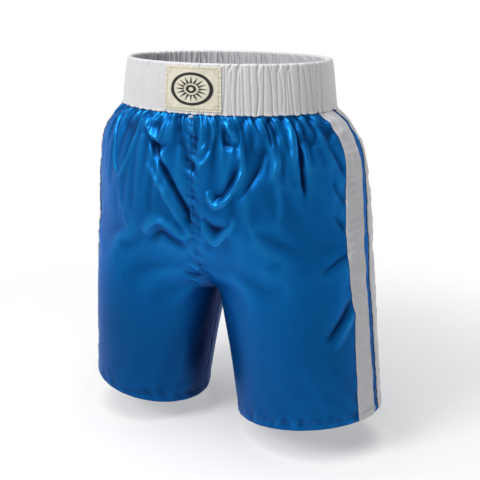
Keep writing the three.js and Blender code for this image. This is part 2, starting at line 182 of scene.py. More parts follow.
class Tree:
    """The node tree of a material or of the room, with short ways to add to it."""

    def __init__(self, tree):
        self.nodes, self.links = tree.nodes, tree.links

    def set(self, node, inputs):
        """Sets inputs by name or number, each to a plain value or to another node's output."""
        for name, value in inputs.items():
            if isinstance(value, bpy.types.NodeSocket):
                self.links.new(value, node.inputs[name])
            else:
                node.inputs[name].default_value = value

    def add(self, kind, inputs, output=None, **settings):
        """A new node, or one of its outputs. The settings come first, for they decide which inputs it has."""
        node = self.nodes.new(f"ShaderNode{kind}")
        for name, value in settings.items():
            setattr(node, name, value)
        self.set(node, inputs)
        return node if output is None else node.outputs[output]

    def attribute(self, name, output="Vector"):
        return self.add("Attribute", {}, output, attribute_name=name)

    def mix(self, first, second, amount):
        return self.add("Mix", {"Factor": amount, "A": first, "B": second}, "Result", data_type="RGBA")

    def sum(self, first, second):
        return self.add("Math", {0: first, 1: second}, "Value", operation="ADD")

    def ramp(self, value, start, end, first=0.0, last=1.0, form="SMOOTHSTEP"):
        """Runs from first to last while value runs from start to end."""
        inputs = {"Value": value, "From Min": start, "From Max": end, "To Min": first, "To Max": last}
        return self.add("MapRange", inputs, "Result", interpolation_type=form)


class Material(Tree):
    def __init__(self, name, roughness):
        self.data = bpy.data.materials.new(name)
        self.data.use_nodes = True
        super().__init__(self.data.node_tree)
        self.shader = self.nodes["Principled BSDF"]
        self.set(self.shader, {"Roughness": roughness})

    def yarns(self, place, direction, pitch, **inputs):
        inputs = {"Vector": place, "Scale": YARN_SCALE / pitch, **inputs}
        return self.add("TexWave", inputs, "Fac", wave_type="BANDS", bands_direction=direction)

    def bump(self, height, strength):
        bump = self.add("Bump", {"Height": height, "Strength": strength, "Distance": BUMP_DISTANCE}, "Normal")
        self.set(self.shader, {"Normal": bump})


def satin_material(name, colour, dark, roughness, sheen, metal=0, weave=0.00035, weave_height=0.10, shine=(1, 1, 1),
                   ridge_highlight=None, valley_shade=None):
    """Woven satin. Fine floats of yarn run round the garment, and the tone drifts a little over the cloth. Where the
    mesh carries a fold attribute, shade and highlight are painted into the tone: darker in the valleys and wherever
    else the attribute is high, lighter along the ridges."""
    satin = Material(name, roughness)
    flat = satin.attribute("flat")
    drift = satin.add("TexNoise", {"Vector": flat, "Scale": 22, "Detail": 3}, "Fac")
    tone = satin.mix((*dark, 1), (*colour, 1), drift)
    # painted shade deepens the tone where the fold attribute rises above 0.5, and a painted highlight lightens it
    # where it falls below
    if valley_shade is not None:
        fold = satin.attribute("fold", "Fac")
        for end, shade in ((0.2, ridge_highlight), (1.0, valley_shade)):
            tone = satin.mix(tone, (*shade, 1), satin.ramp(fold, 0.5, end, form="LINEAR"))
    sheen_tint = [0.4 + 0.6 * c for c in colour]
    satin.set(satin.shader, {"Base Color": tone, "Metallic": metal, "Specular Tint": (*shine, 1),
                             "Sheen Weight": sheen, "Sheen Roughness": 0.4, "Sheen Tint": (*sheen_tint, 1)})
    floats = satin.yarns(flat, "Y", weave, **{"Distortion": 1.2, "Detail": 2, "Detail Scale": 2})
    slub = satin.add("Mapping", {"Vector": flat, "Scale": (90, 900, 1)}, "Vector")
    uneven = satin.add("TexNoise", {"Vector": slub, "Scale": 1, "Detail": 2}, "Fac")
    satin.bump(satin.sum(floats, uneven), weave_height)
    return satin.data


def badge_material():
    """Printed cream cloth of plain weave; the print comes from the mesh."""
    cloth = Material("badge_cloth", 0.75)
    flat = cloth.attribute("flat")
    drift = cloth.add("TexNoise", {"Vector": flat, "Scale": 400}, "Fac")
    ink = cloth.add("SeparateXYZ", {"Vector": cloth.attribute("print")}).outputs
    tone = cloth.mix((0.74, 0.70, 0.58, 1), (0.66, 0.62, 0.50, 1), drift)
    tone = cloth.mix(tone, (0.42, 0.36, 0.14, 1), ink["Y"])
    tone = cloth.mix(tone, (0.018, 0.017, 0.016, 1), ink["X"])
    cloth.set(cloth.shader, {"Base Color": tone})
    cloth.bump(cloth.sum(*[cloth.yarns(flat, way, 0.0006, Distortion=0.8) for way in "XY"]), 0.35)
    return cloth.data


def thread_material(name, colour):
    """Spun polyester thread, a little uneven in tone, with fine twist."""
    thread = Material(name, 0.55)
    place = thread.add("TexCoord", {}, "Object")
    drift = thread.add("TexNoise", {"Vector": place, "Scale": 900}, "Fac")
    tone = thread.mix((*[0.75 * c for c in colour], 1), (*colour, 1), drift)
    thread.set(thread.shader, {"Base Color": tone, "Sheen Weight": 0.3})
    thread.bump(drift, 0.3)
    return thread.data


# ------------------------------------------------------------------ the worn shape

def smoothstep(x, low, high):
    t = np.clip((x - low) / (high - low), 0, 1)
    return t * t * (3 - 2 * t)


def worn(side, face, share, depth, gathered=True):
    """Points of the worn shape. share is 0 at the side seam and 1 at the end seam: the centre seam down to the
    crotch, then the inseam. Without gathered it is the shape the cloth would have if the waist didn't draw it in."""
    share, depth = np.broadcast_arrays(np.asarray(share, float), np.asarray(depth, float))
    down = np.clip((depth - BAND) / (TOTAL - BAND), 0, 1)
    to_crotch = np.clip((depth - BAND) / (CROTCH - BAND), 0, 1)
    leg_down = np.clip((depth - CROTCH) / (TOTAL - CROTCH), 0, 1)
    below = np.maximum(0, depth - BAND)
    inside = np.clip((BAND - depth) / BAND, 0, 1)
    wide_from = BAND_WIDE - TOP_TAPER * inside - TUCK_INSET
    deep_from = BAND_DEEP - TOP_TAPER_DEEP * inside - TUCK_INSET
    fullness = FULL_FRONT + (FULL_SEAT - FULL_FRONT) * (share if face == BACK else 0)
    spread = 1 - np.exp(-below / FLARE) if gathered else 1
    build = 1 - np.exp(-below / FULL_LENGTH) if gathered else 1
    hem_wide = HEM_WIDE + (LEFT_SPREAD if side == LEFT else RIGHT_SPREAD)
    outer = wide_from + (HIP_WIDE - wide_from) * spread + (hem_wide - HIP_WIDE) * down
    deep = deep_from + (fullness + TUCK_INSET) * build - 0.7 * fullness * to_crotch ** 2
    inner = HEM_INNER * leg_down ** INSEAM_ROUND
    rise = 1 - (1 - to_crotch ** RISE_ROUND) ** (1 / RISE_ROUND)
    shaping = smoothstep(depth, CROTCH - LEG_SHAPING, CROTCH)
    on_legs = 1 - (1 - SEAM_FORWARD_ON_LEGS) * shaping
    seam = SEAM_FORWARD * smoothstep(depth, BAND, BAND + SEAM_FORWARD_LENGTH) * on_legs
    seam = seam * (RIGHT_SEAM if side == RIGHT else 1)
    turn = -face * seam + (math.pi / 2 + face * seam) * share
    split = shaping + (rise - shaping) * share ** RISE_REACH
    leg_x = (outer + inner) / 2 + (outer - inner) / 2 * np.cos(2 * turn)
    leg_y = (LEG_DEEP + (HEM_DEEP - LEG_DEEP) * leg_down) * np.sin(2 * turn)
    x = (1 - split) * outer * np.cos(turn) + split * leg_x
    y = (1 - split) * deep * np.sin(turn) + split * leg_y
    return np.stack([side * x, face * y - HEM_FORWARD * down, -depth], -1)


def closer_at_waist(steps):
    """Shares of a length that start with small steps and grow, for the gathers lie under the waistband."""
    t = np.linspace(0, 1, steps + 1)
    return t * (0.55 + 0.45 * t)


def rise_depths(face):
    """Depths of the rows along the centre seam, from the waistband to the crotch."""
    depth = BAND + (CROTCH - BAND) * (1 - (1 - np.linspace(0, 1, 600)) ** 2)
    points = worn(LEFT, face, 1.0, depth)
    length = np.concatenate([[0], np.cumsum(np.linalg.norm(np.diff(points, axis=0), axis=1))])
    return np.interp(closer_at_waist(RISE_ROWS) * length[-1], length, depth)


def row_depths(face):
    """Depth of every row at the end seam."""
    inseam = np.linspace(CROTCH, TOTAL, INSEAM_ROWS + 1)[1:]
    return np.concatenate([[BAND - TUCK], rise_depths(face), inseam])


SIDE_END = TOTAL - HEM_CLIMB
SIDE_MIDDLE = BAND + 0.62 * (SIDE_END - BAND)
SIDE_DEPTHS = np.concatenate([[BAND - TUCK], BAND + (SIDE_MIDDLE - BAND) * closer_at_waist(RISE_ROWS),
                              np.linspace(SIDE_MIDDLE, SIDE_END, INSEAM_ROWS + 1)[1:]])


def row_at(side_depth):
    """The row that crosses the side seam at a depth."""
    return np.interp(side_depth, SIDE_DEPTHS, np.arange(ROWS))


def down_at(row):
    """The depth at which a row crosses the side seam."""
    return np.interp(row, np.arange(ROWS), SIDE_DEPTHS)


def grid_row(side, face, depth_side, depth_end, gathered):
    """One row's points at COLUMNS + 1 places from the side seam to the end seam, and its length."""
    share = np.linspace(0, 1, ROW_SAMPLES + 1)
    towards_end = np.sin(math.pi / 2 * share) ** 2
    points = worn(side, face, share, depth_side + (depth_end - depth_side) * towards_end, gathered)
    length = np.concatenate([[0], np.cumsum(np.linalg.norm(np.diff(points, axis=0), axis=1))])
    return points, length


PLAIN_FROM_SEAM = 0.050              # no gathers this near the side seam, where the stripes stiffen the cloth
EASE = 1.02                          # the cloth is cut a little larger than the worn shape
TOP_EASE = 1.18


def eased_at_crotch(grid):
    """Evens out the rows about the crotch, except next to the seam, where the legs part."""
    rows = np.exp(-((np.arange(ROWS) - CROTCH_ROW) / 9.0) ** 2)
    columns = 1 - smoothstep(np.arange(COLUMNS + 1) / COLUMNS, 0.72, 1.0)
    weight = 0.5 * rows[1:-1, None, None] * columns[None, :, None]
    for _ in range(120):
        middle = (grid[:-2] + grid[2:]) / 2
        grid[1:-1] += weight * (middle - grid[1:-1])
    return grid


def build_grids():
    """The worn points, the slack points and the flat row lengths of all four panels."""
    start, slack, lengths = {}, {}, {}
    for side in (LEFT, RIGHT):
        for face in (FRONT, BACK):
            depth_end = row_depths(face)
            worn_rows, slack_rows, flat = [], [], []
            for r in range(ROWS):
                points, length = grid_row(side, face, SIDE_DEPTHS[r], depth_end[r], True)
                loose, loose_length = grid_row(side, face, SIDE_DEPTHS[r], depth_end[r], False)
                ease = EASE + (TOP_EASE - EASE) * (1 - smoothstep(r, 2, RISE_ROWS * 0.7))
                total = loose_length[-1] * ease
                arcs = np.linspace(0, total, COLUMNS + 1)
                loose_at = arcs / ease
                plain = min(PLAIN_FROM_SEAM, length[-1] * 0.4)
                drawn = plain + (arcs - plain) * (length[-1] - plain) / (total - plain)
                worn_at = np.where(arcs < plain, arcs, drawn)
                worn_rows.append([np.interp(worn_at, length, points[:, k]) for k in range(3)])
                x, y, z = (np.interp(loose_at, loose_length, loose[:, k]) for k in range(3))
                slack_rows.append([x * ease, y * ease, z])
                flat.append(total)
            start[side, face] = eased_at_crotch(np.moveaxis(np.array(worn_rows), 1, 2))
            slack[side, face] = eased_at_crotch(np.moveaxis(np.array(slack_rows), 1, 2))
            lengths[side, face] = np.array(flat)
    return start, slack, lengths


# ------------------------------------------------------------------ gathers by cloth simulation

def shared_ids():
    """Point numbers of the four grids, with the points that two panels share along a seam numbered alike."""
    keys = [(s, f) for s in (LEFT, RIGHT) for f in (FRONT, BACK)]
    count = ROWS * (COLUMNS + 1)
    ids = {key: np.arange(count).reshape(ROWS, COLUMNS + 1) + i * count for i, key in enumerate(keys)}
    for s in (LEFT, RIGHT):
        ids[s, BACK][:, 0] = ids[s, FRONT][:, 0]
        ids[s, BACK][CROTCH_ROW:, -1] = ids[s, FRONT][CROTCH_ROW:, -1]
    for f in (FRONT, BACK):
        ids[RIGHT, f][: CROTCH_ROW, -1] = ids[LEFT, f][: CROTCH_ROW, -1]
    for key in keys:
        ids[key][CROTCH_ROW, -1] = ids[LEFT, FRONT][CROTCH_ROW, -1]
    used = np.unique(np.concatenate([ids[key].ravel() for key in keys]))
    renumber = np.full(count * len(keys), -1)
    renumber[used] = np.arange(len(used))
    return {key: renumber[ids[key]] for key in keys}, len(used)


def gathered(points, ids):
    flat = np.zeros((max(i.max() for i in ids.values()) + 1, 3))
    for key in ids:
        flat[ids[key].ravel()] = points[key].reshape(-1, 3)
    return flat


def grid_quads(ids):
    a, b, c, d = ids[:-1, :-1], ids[:-1, 1:], ids[1:, 1:], ids[1:, :-1]
    return np.stack([a, b, c, d], -1).reshape(-1, 4)


def waves(coordinates, wavelengths, seed):
    """Smooth noise of about unit size: a sum of waves in random directions."""
    rng = np.random.default_rng(seed)
    total = np.zeros(coordinates.shape[:-1])
    for wavelength in wavelengths:
        direction = rng.normal(size=coordinates.shape[-1])
        direction /= np.linalg.norm(direction)
        total += np.cos(coordinates @ direction * 2 * math.pi / wavelength + rng.uniform(0, 2 * math.pi))
    return total / math.sqrt(len(wavelengths) / 2)


FRAMES = 40                          # steps of the cloth simulation


def simulate(start, slack):
    """Lets the slack of the cloth buckle into gathers and soft folds, held by the waistband."""
    ids, count = shared_ids()
    points, rest = gathered(start, ids), gathered(slack, ids)
    hold = np.zeros(count)
    for key in ids:
        hold[ids[key][:2].ravel()] = 1
        rows = np.arange(2, ROWS)
        weight = 0.02 + 0.25 * smoothstep(rows, ROWS - 8, ROWS - 1)
        hold[ids[key][2:]] = weight[:, None]
    seed_push = waves(points * [1, 1, 0.25], np.geomspace(0.012, 0.05, 14), 5)
    outward = points * [1, 1, 0]
    outward /= np.linalg.norm(outward, axis=1)[:, None] + 1e-9
    free = (hold < 1) * np.exp(-np.maximum(0, -points[:, 2] - BAND) / 0.06)
    start_points = points + outward * (0.0015 * seed_push * free)[:, None]

    mesh = bpy.data.meshes.new("cloth")
    faces = np.concatenate([grid_quads(ids[key]) for key in ids])
    mesh.from_pydata(start_points.tolist(), [], faces.tolist())
    cloth = bpy.data.objects.new("cloth", mesh)
    bpy.context.scene.collection.objects.link(cloth)
    cloth.shape_key_add(name="Basis")
    key = cloth.shape_key_add(name="slack")
    key.data.foreach_set("co", rest.astype(np.float32).ravel())
    group = cloth.vertex_groups.new(name="hold")
    for weight in np.unique(hold):
        group.add(np.flatnonzero(hold == weight).tolist(), float(weight), "REPLACE")
    modifier = cloth.modifiers.new("cloth", "CLOTH")
    s = modifier.settings
    s.quality = 7
    s.mass = 0.005
    s.air_damping = 2.0
    s.tension_stiffness = 40
    s.compression_stiffness = 40
    s.shear_stiffness = 8
    s.bending_stiffness = 1.5
    s.tension_damping = 10
    s.compression_damping = 10
    s.bending_damping = 0.5
    s.vertex_group_mass = "hold"
    s.pin_stiffness = 2.0
    s.rest_shape_key = key
    modifier.collision_settings.use_collision = False
    modifier.point_cache.frame_start = 1
    modifier.point_cache.frame_end = FRAMES
    for f in range(1, FRAMES + 1):
        bpy.context.scene.frame_set(f)
    settled = cloth.evaluated_get(bpy.context.evaluated_depsgraph_get()).to_mesh()
    out = np.zeros(count * 3)
    settled.vertices.foreach_get("co", out)
    bpy.data.objects.remove(cloth)
    bpy.context.scene.frame_set(1)
    out = out.reshape(-1, 3)
    return {key: out[ids[key]] for key in ids}


# ------------------------------------------------------------------ a smooth surface through the grids

class Surface:
    """Smooth interpolation through the four grids, over their seams."""

    def __init__(self, grids, lengths):
        self.lengths = lengths
        self.grids = {key: self.extended(grids, *key) for key in grids}

    def extended(self, grids, side, face):
        """One grid with two more columns past each seam and two more rows past each end."""
        own, over_side = grids[side, face], grids[side, -face]
        past_end = np.where((np.arange(ROWS) <= CROTCH_ROW)[:, None, None], grids[-side, face][:, -2:-4:-1],
                            over_side[:, -2:-4:-1])
        wide = np.concatenate([over_side[:, 2:0:-1], own, past_end], 1)
        above = [2 * wide[0] - wide[2], 2 * wide[0] - wide[1]]
        below = [2 * wide[-1] - wide[-2], 2 * wide[-1] - wide[-3]]
        return np.concatenate([above, wide, below], 0)

    def point(self, side, face, row, arc):
        """The point at a row, which may lie between two, and a flat distance from the side seam."""
        row, arc = np.broadcast_arrays(np.asarray(row, float), np.asarray(arc, float))
        length = np.interp(row, np.arange(ROWS), self.lengths[side, face])
        return self.place(side, face, row, arc / length * COLUMNS)

    def place(self, side, face, row, column):
        grid = self.grids[side, face]
        r0 = np.clip(np.floor(row).astype(int), -1, ROWS - 1)
        c0 = np.clip(np.floor(column).astype(int), -1, COLUMNS)
        wr, wc = spline_weights(row - r0), spline_weights(column - c0)
        total = 0
        for i in range(4):
            line = 0
            for j in range(4):
                r = np.clip(r0 + i + 1, 0, grid.shape[0] - 1)
                c = np.clip(c0 + j + 1, 0, grid.shape[1] - 1)
                line = line + grid[r, c] * wc[j][..., None]
            total = total + line * wr[i][..., None]
        return total

    def length(self, side, face, row):
        return np.interp(row, np.arange(ROWS), self.lengths[side, face])

    def normal(self, side, face, row, arc):
        """Unit normal, out of the garment."""
        across = self.point(side, face, row, arc + 0.001) - self.point(side, face, row, arc - 0.001)
        down = self.point(side, face, row + 0.2, arc) - self.point(side, face, row - 0.2, arc)
        n = np.cross(across, down) * (-side * face)
        return n / np.linalg.norm(n, axis=-1)[..., None]

    def lifted(self, side, face, row, arc, lift):
        lift = np.asarray(lift, float)
        return self.point(side, face, row, arc) + self.normal(side, face, row, arc) * lift[..., None]


def spline_weights(t):
    """Weights of four neighbours in a Catmull-Rom spline."""
    return [(-t + 2 * t ** 2 - t ** 3) / 2, (2 - 5 * t ** 2 + 3 * t ** 3) / 2,
            (t + 4 * t ** 2 - 3 * t ** 3) / 2, (-t ** 2 + t ** 3) / 2]


# ------------------------------------------------------------------ meshes

def make_piece(name, points, faces, material, **vectors):
    """A mesh object; each of vectors becomes an attribute that its material can read."""
    mesh = bpy.data.meshes.new(name)
    mesh.from_pydata(points.reshape(-1, 3).tolist(), [], faces.tolist())
    for attribute_name, values in vectors.items():
        single = values.shape[-1] == 1
        attribute = mesh.attributes.new(attribute_name, "FLOAT" if single else "FLOAT_VECTOR", "POINT")
        attribute.data.foreach_set("value" if single else "vector", values.astype(np.float32).ravel())
    mesh.materials.append(material)
    mesh.polygons.foreach_set("use_smooth", [True] * len(mesh.polygons))
    piece = bpy.data.objects.new(name, mesh)
    bpy.context.scene.collection.objects.link(piece)
    return piece


def shell_faces(rows, columns, flip):
    """Faces of a closed shell: points 0 to rows*columns-1 are its outer grid and the next as many its inner one."""
    count = rows * columns
    outer = np.arange(count).reshape(rows, columns)
    quads = [grid_quads(outer), grid_quads(outer + count)[:, ::-1]]
    rim = np.concatenate([outer[0, :-1], outer[:-1, -1], outer[-1, :0:-1], outer[:0:-1, 0]])
    following = np.roll(rim, -1)
    quads.append(np.stack([following, rim, rim + count, following + count], -1))
    faces = np.concatenate(quads)
    return faces[:, ::-1] if flip else faces


def shell_piece(name, outer, inner, material, flip, **vectors):
    """A sheet of cloth with its thickness, as one closed mesh."""
    rows, columns = outer.shape[:2]
    points = np.concatenate([outer.reshape(-1, 3), inner.reshape(-1, 3)])
    twice = {key: np.concatenate([v.reshape(-1, v.shape[-1])] * 2) for key, v in vectors.items()}
    return make_piece(name, points, shell_faces(rows, columns, flip), material, **twice)


def mirrored(side, face):
    return side * face > 0


# ------------------------------------------------------------------ folds set one by one

FOLD_STRENGTH = 1.5


class Fold:
    """A crease or a ridge along a line on the flat cloth: round from the side seam, down from the top."""

    def __init__(self, height, left, right, points):
        self.height = height * FOLD_STRENGTH / 1000
        self.left, self.right = left / 1000, right / 1000
        self.line = smooth_line(np.array(points, float) / 1000, 12)

    def height_at(self, arc, down):
        """Height over the cloth: full on the line, gone at left or right of it, and less towards its ends."""
        out = np.zeros(np.shape(arc))
        low = self.line.min(0) - max(self.left, self.right)
        high = self.line.max(0) + max(self.left, self.right)
        near = (arc > low[0]) & (arc < high[0]) & (down > low[1]) & (down < high[1])
        if not near.any():
            return out
        spot = np.stack([arc[near], down[near]], -1)
        best = np.full(len(spot), 1e9)
        across, along = np.zeros(len(spot)), np.zeros(len(spot))
        steps = np.diff(self.line, axis=0)
        for i, step in enumerate(steps):
            offset = spot - self.line[i]
            t = np.clip(offset @ step / (step @ step), 0, 1)
            rest = offset - t[:, None] * step
            distance = np.hypot(*rest.T)
            closer = distance < best
            best = np.where(closer, distance, best)
            turn = step[0] * offset[:, 1] - step[1] * offset[:, 0]
            across = np.where(closer, np.sign(turn), across)
            along = np.where(closer, (i + t) / len(steps), along)
        width = np.where(across > 0, self.right, self.left)
        share = np.clip(1 - best / width, 0, 1)
        ends = np.clip(4 * along * (1 - along), 0, 1) ** 0.6
        out[near] = self.height * ends * share ** 1.7
        return out


def smooth_line(points, steps):
    """A smooth curve through a few points."""
    padded = np.concatenate([[2 * points[0] - points[1]], points, [2 * points[-1] - points[-2]]])
    t = np.linspace(0, 1, steps, endpoint=False)[:, None]
    spans = []
    for i in range(len(points) - 1):
        weights = spline_weights(t)
        spans.append(sum(weights[k] * padded[i + k] for k in range(4)))
    return np.concatenate(spans + [points[-1:]])


# Height, reach to the left of the line, reach to its right, and the line's places round and down the flat cloth,
# all in millimetres.
FOLDS = {
    (RIGHT, FRONT): [
        # the narrow loop of cloth hanging from the waistband near the wearer's right hip
        (2.8, 8, 5, [(92, 66), (108, 88), (117, 112), (121, 134), (133, 146)]),
        (2.8, 5, 8, [(133, 146), (148, 130), (162, 112), (174, 90), (178, 66)]),
        (2.0, 5, 5, [(60, 68), (65, 82), (68, 104)]),
        # the short loop beside the centre seam and the hollow under it
        (3.0, 10, 5, [(186, 68), (198, 82), (220, 93), (234, 84), (239, 68)]),
        (-2.6, 6, 9, [(203, 92), (222, 101), (243, 97)]),
        (1.8, 6, 3, [(199, 66), (214, 75), (228, 66)]),
        (2.0, 6, 7, [(226, 108), (236, 118)]),
        # the long slanting valley that ends at the crotch, and the ridge below it
        (-4.2, 11, 9, [(207, 96), (221, 112), (236, 135), (250, 160), (258, 186), (262, 206)]),
        (1.8, 10, 6, [(196, 120), (214, 140), (232, 165), (248, 192)]),
        (4.0, 14, 6, [(176, 205), (192, 190), (209, 184), (224, 190), (240, 198), (258, 190)]),
        (-2.2, 7, 12, [(184, 212), (206, 197), (222, 204), (246, 210)]),
        (1.5, 7, 7, [(240, 232), (254, 242), (263, 238)]),
        (1.5, 7, 7, [(244, 262), (258, 272), (266, 268)]),
        (-2.0, 10, 10, [(232, 250), (250, 256), (262, 252)]),
    ],
    (LEFT, FRONT): [
        # the wearer's left of the centre seam
        (2.2, 8, 4, [(255, 66), (252, 82), (254, 100)]),
        (1.6, 4, 7, [(253, 98), (259, 109), (270, 119)]),
        (1.4, 4, 6, [(262, 92), (271, 103)]),
        (3.8, 5, 12, [(250, 143), (243, 153), (232, 158), (219, 152), (208, 140), (199, 122)]),
        (-3.0, 10, 9, [(238, 148), (226, 147), (214, 132), (205, 108)]),
        (2.6, 4, 9, [(229, 70), (224, 81), (209, 90)]),
        (-2.6, 6, 8, [(236, 74), (232, 92), (210, 96)]),
        (3.8, 6, 13, [(254, 176), (243, 196), (231, 202), (216, 190), (200, 172)]),
        (-2.6, 12, 9, [(252, 170), (232, 184), (208, 178)]),
        (1.8, 9, 9, [(199, 66), (204, 100), (196, 128)]),
        # the long straight crease, with shorter and softer ones beside it
        (-4.6, 6, 9, [(101, 66), (108, 86), (111, 110), (110, 132), (106, 154)]),
        (1.8, 8, 8, [(112, 68), (119, 88), (122, 112), (120, 134)]),
        (-3.0, 6, 8, [(152, 66), (156, 80), (154, 96)]),
        (-2.2, 14, 12, [(166, 96), (175, 119), (189, 139), (202, 152)]),
        (1.6, 12, 12, [(140, 84), (146, 112), (160, 138)]),
        # pulls along the front edge of the stripe
        (-2.0, 7, 7, [(46, 138), (53, 116), (60, 98)]),
        (-1.6, 8, 8, [(46, 172), (57, 162), (68, 140)]),
        (-1.8, 8, 8, [(46, 214), (56, 200), (68, 182)]),
        (-1.8, 9, 9, [(46, 236), (66, 244), (90, 256)]),
        (-2.4, 12, 12, [(48, 292), (68, 316), (96, 350)]),
        (1.6, 12, 10, [(48, 312), (62, 330), (84, 362)]),
        # the puff at the top of the stripe, just under the waistband
        (2.4, 7, 9, [(12, 74), (26, 72), (42, 76)]),
    ],
    (LEFT, BACK): [
        # of the same kinds as in front, for nothing shows how they lie
        (2.4, 6, 9, [(110, 66), (128, 92), (150, 100), (168, 84), (176, 66)]),
        (-3.4, 9, 9, [(196, 66), (204, 96), (224, 128), (246, 158)]),
        (3.0, 10, 9, [(180, 196), (204, 180), (230, 184), (256, 174)]),
        (-2.2, 10, 10, [(84, 66), (86, 96), (80, 124)]),
    ],
    (RIGHT, BACK): [
        (2.4, 6, 9, [(88, 66), (104, 90), (126, 94), (146, 82), (152, 66)]),
        (-3.2, 9, 9, [(214, 70), (212, 104), (226, 134), (250, 164)]),
        (2.8, 10, 9, [(174, 184), (200, 172), (228, 184), (258, 190)]),
        (-3.4, 7, 9, [(132, 66), (130, 92), (136, 118), (132, 140)]),
    ],
}
FOLDS = {panel: [Fold(*fold) for fold in folds] for panel, folds in FOLDS.items()}


def hand_folds(side, face, arc, down):
    """The folds' heights. Their places are counted from the widest place of the side, which the side seam leaves."""
    total = np.zeros(np.shape(arc))
    turned = SEAM_FORWARD_ARC * (RIGHT_SEAM if side == RIGHT else 1)
    arc = arc - face * turned * smoothstep(down, BAND, BAND + SEAM_FORWARD_LENGTH)
    for fold in FOLDS[side, face]:
        total = total + fold.height_at(arc, down)
    return total


def seam_dip(distance, depth=0.0004, reach=0.0009):
    """The little groove of a seam or of a tight line of stitches."""
    return -depth * np.exp(-(distance / reach) ** 2)


def puckers(along, across, pitch, height, reach, seed):
    """Short ripples square to a line of stitches, dying out away from it. across is negative on its other side."""
    wavelengths = pitch * np.array([1, 1.3, 0.8, 1.7, 2.4])
    wobble = waves(np.stack([along, across * 0.35], -1), wavelengths, seed)
    return height * wobble * np.exp(-(across / reach) ** 2)


def waist_gathers(side, face, arc, from_end, below):
    """Small puffs where the cloth comes out from under the waistband."""
    close = smoothstep(below, -0.002, 0.006) * np.exp(-np.maximum(0, below - 0.004) / 0.011)
    plain = smoothstep(arc, STRIPE_TO, STRIPE_TO + 0.010) * smoothstep(from_end, 0, 0.006)
    ripple = waves(np.stack([arc, below * 0.5], -1), [0.0105, 0.014, 0.019, 0.008, 0.027], 300 + 2 * side + face)
    return 0.0011 * ripple * close * plain


def relief(side, face, row, arc):
    """Everything finer than the simulation: folds, seams and puckers, as a height over the cloth."""
    down = down_at(row)
    length = surface.length(side, face, row)
    from_end, from_hem, below = length - arc, SIDE_END - down, down - BAND
    above_crotch = row < CROTCH_ROW
    height = hand_folds(side, face, arc, down) * smoothstep(from_end, 0, 0.008) * smoothstep(arc, 0, 0.006)
    height += waist_gathers(side, face, arc, from_end, below)
    height += seam_dip(arc) + seam_dip(from_end)
    pulled = (1 - smoothstep(row, CROTCH_ROW - 26, CROTCH_ROW - 8)) * smoothstep(below, 0, 0.01)
    height += pulled * puckers(down, side * from_end, 0.0085, 0.0009, 0.012, 20 + face)
    height += np.where(above_crotch, puckers(down, side * from_end, 0.0075, 0.0003, 0.006, 30 + face),
                       puckers(down, face * from_end, 0.0075, 0.0003, 0.006, 40 + side))
    height += puckers(down, face * arc, 0.009, 0.00025, 0.006, 50 + side)
    from_stitches = from_hem - HEM_HEIGHT * 0.84
    beside_inseam = 1 - np.exp(-from_end / 0.010)
    height += beside_inseam * puckers(face * arc, from_stitches, 0.011, 0.0004, 0.009, 60 + side)
    height += seam_dip(from_stitches, 0.0003)
    height += 0.0005 * smoothstep(-from_stitches, 0, 0.003)
    edge = np.minimum(abs(arc - STRIPE_FROM), abs(arc - STRIPE_TO))
    height += puckers(down, edge, 0.009, 0.00025, 0.007, 70 + 2 * side + face)
    return height


def skin(side, face, row, arc, lift=0.0):
    """A point of the finished cloth, or one at some height over it."""
    row, arc, lift = np.broadcast_arrays(np.asarray(row, float), np.asarray(arc, float), np.asarray(lift, float))
    return surface.lifted(side, face, row, arc, relief(side, face, row, arc) + lift)


# ------------------------------------------------------------------ panels and stripes

ROW_STEP = 0.0019
EDGE_STEPS = np.array([0, 0.0004, 0.0009, 0.0015, 0.0023, 0.0034, 0.0050])


def flat_coordinates(row, arc):
    """Where a point lies on the flat cloth: round the garment, and down it."""
    return np.stack([arc, down_at(row), np.zeros_like(arc)], -1)


def vent_half_gap(row):
    """Half the opening of the side seam, which widens below the top of the vent."""
    return SEAM_GAP + VENT_OPEN * smoothstep(row, row_at(SIDE_END - VENT), ROWS - 1)


def panel_arcs(start, end, columns):
    """Places across a panel, close together beside its seams."""
    middle = start + EDGE_STEPS[-1] + (end - start - 2 * EDGE_STEPS[-1]) * np.linspace(0, 1, columns)[1:-1]
    return np.concatenate([start + EDGE_STEPS, middle, end - EDGE_STEPS[::-1]], -1)


def painted_shade_and_highlight(side, face, row, arc, points):
    """Painted shade and painted highlight for the satin's tone: 0.5 on even cloth, up to 1 (painted shade) in the
    valleys between folds, between the legs and on the lower legs, and down to 0 (painted highlight) on ridges.
    """
    height = ((points - worn_surface.point(side, face, row, arc)) * surface.normal(side, face, row, arc)).sum(-1)
    # cloth lying below its smoothed height gets painted shade, cloth above it a painted highlight
    even = height
    for _ in range(60):
        wide = np.pad(even, 1, "edge")
        even = (wide[1:-1, :-2] + wide[1:-1, 2:] + wide[:-2, 1:-1] + wide[2:, 1:-1]) / 4
    from_end = surface.length(side, face, row) - arc
    # painted shade between the legs, strongest beside the inseam
    between = smoothstep(row, CROTCH_ROW - 14, CROTCH_ROW + 8) * (1 - smoothstep(from_end, 0.008, 0.065))
    # painted shade down the lower legs, where less light falls, a little more on the wearer's right
    low = smoothstep(row, CROTCH_ROW - 12, CROTCH_ROW + 14) * (1 - between)
    return np.clip(0.5 + (even - height) / 0.006 + 0.58 * between + (0.20 if side == LEFT else 0.27) * low, 0, 1)


